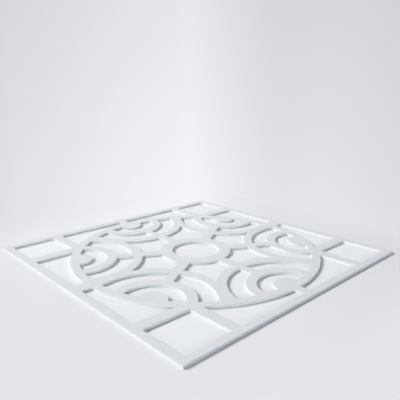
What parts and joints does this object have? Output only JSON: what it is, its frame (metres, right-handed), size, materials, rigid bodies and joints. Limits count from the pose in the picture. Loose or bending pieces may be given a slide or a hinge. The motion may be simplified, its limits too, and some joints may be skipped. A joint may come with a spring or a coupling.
{
  "type": "fretwork panel",
  "caption": "Square flat fretwork screen panel: a narrow frame carries a large ring, inside which fan-shaped arcs stand around a spoked hub. Used as a screen, partition or wall panel.",
  "frame": {"origin": "centre of the panel's back face", "axes": "+Z out of the panel's face, +X towards the right stile, +Y towards the top rail"},
  "size_m": [1.2, 1.2, 0.009],
  "materials": {
    "white_paint": "satin white paint over sanded board",
    "bare_wood": "bare sawn hardwood, hidden in the joints"
  },
  "bodies": {
    "root": {"frame_right_stile": "white_paint", "frame_left_stile": "white_paint", "frame_top_rail": "white_paint", "frame_bottom_rail": "white_paint", "ring_segment_upper_right": "white_paint", "ring_segment_upper_left": "white_paint", "ring_segment_left": "white_paint", "ring_segment_lower_left": "white_paint", "ring_segment_lower_right": "white_paint", "ring_segment_right": "white_paint", "hub_ring": "white_paint", "hub_spoke_upper_right": "white_paint", "hub_spoke_top": "white_paint", "hub_spoke_upper_left": "white_paint", "hub_spoke_lower_left": "white_paint", "hub_spoke_bottom": "white_paint", "hub_spoke_lower_right": "white_paint", "outer_arc_upper_right": "white_paint", "outer_arc_top": "white_paint", "outer_arc_upper_left": "white_paint", "outer_arc_lower_left": "white_paint", "outer_arc_bottom": "white_paint", "outer_arc_lower_right": "white_paint", "fan_spoke_upper_right": "white_paint", "fan_spoke_top": "white_paint", "fan_spoke_upper_left": "white_paint", "fan_spoke_lower_left": "white_paint", "fan_spoke_bottom": "white_paint", "fan_spoke_lower_right": "white_paint", "inner_arc_upper_right": "white_paint", "inner_arc_top": "white_paint", "inner_arc_upper_left": "white_paint", "inner_arc_lower_left": "white_paint", "inner_arc_bottom": "white_paint", "inner_arc_lower_right": "white_paint", "boss_upper_right": "white_paint", "boss_top": "white_paint", "boss_upper_left": "white_paint", "boss_lower_left": "white_paint", "boss_bottom": "white_paint", "boss_lower_right": "white_paint", "tie_right": "white_paint", "tie_top": "white_paint", "tie_left": "white_paint", "tie_bottom": "white_paint", "corner_rail_top_right": "white_paint", "corner_stile_top_right": "white_paint", "corner_rail_top_left": "white_paint", "corner_stile_top_left": "white_paint", "corner_rail_bottom_left": "white_paint", "corner_stile_bottom_left": "white_paint", "corner_rail_bottom_right": "white_paint", "corner_stile_bottom_right": "white_paint", "ring_tenons": "bare_wood", "spoke_tenons": "bare_wood", "ring_tongues": "bare_wood", "arc_tongues": "bare_wood"}
  },
  "joints": []
}
